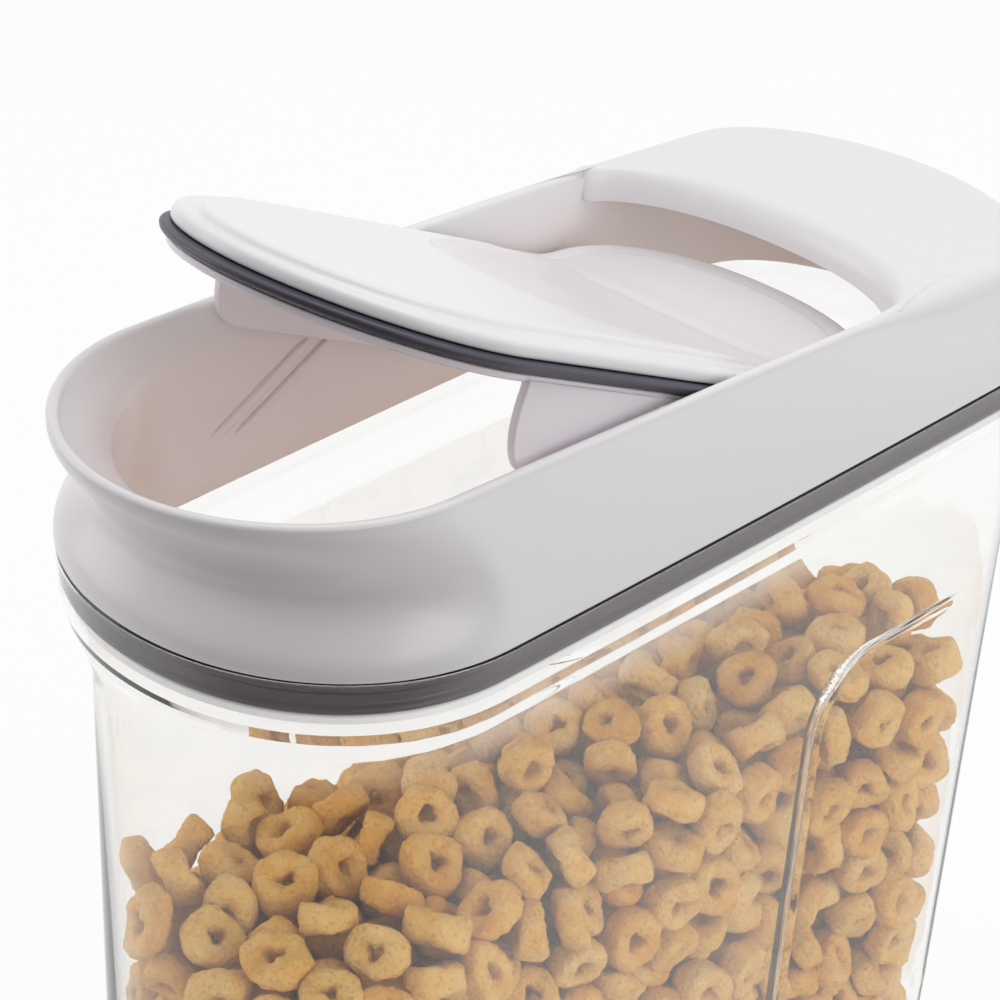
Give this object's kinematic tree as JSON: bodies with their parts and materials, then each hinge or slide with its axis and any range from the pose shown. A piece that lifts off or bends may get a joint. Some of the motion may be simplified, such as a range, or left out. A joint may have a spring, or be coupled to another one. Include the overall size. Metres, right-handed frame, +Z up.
{
  "type": "cereal dispenser",
  "caption": "Tall clear storage tub with a push-on white lid, an open spout at the front and a flip cap that rocks on hinge pins.",
  "frame": {"origin": "on the counter, below the middle of the box round the dispenser", "axes": "+Z up, the spout points along -Y, X runs across the narrow width"},
  "size_m": [0.107, 0.2578, 0.2756],
  "materials": {
    "clear_plastic": "clear polished plastic, faintly warm at its edges",
    "white_plastic": "smooth white moulding with a soft gloss",
    "dark_silicone": "satin dark purple-grey silicone",
    "pin_plastic": "plain light grey plastic"
  },
  "bodies": {
    "tub": {"container": "clear_plastic"},
    "lid": {"lid_shell": "white_plastic", "lid_seal_carrier": "white_plastic", "lid_seal": "dark_silicone", "hinge_pin_right": "pin_plastic", "hinge_pin_left": "pin_plastic"},
    "cap": {"cap_shell": "white_plastic", "cap_seal": "dark_silicone", "cap_frame": "white_plastic"}
  },
  "joints": [
    {"name": "lid_lift", "type": "slide", "parent": "tub", "child": "lid", "axis": [0, 0, 1], "range_m": [0, 0.06]},
    {"name": "cap_flip", "type": "hinge", "parent": "lid", "child": "cap", "pos_m": [0, 0.01195, 0.204], "axis": [1, 0, 0], "range_deg": [0, 19]}
  ]
}
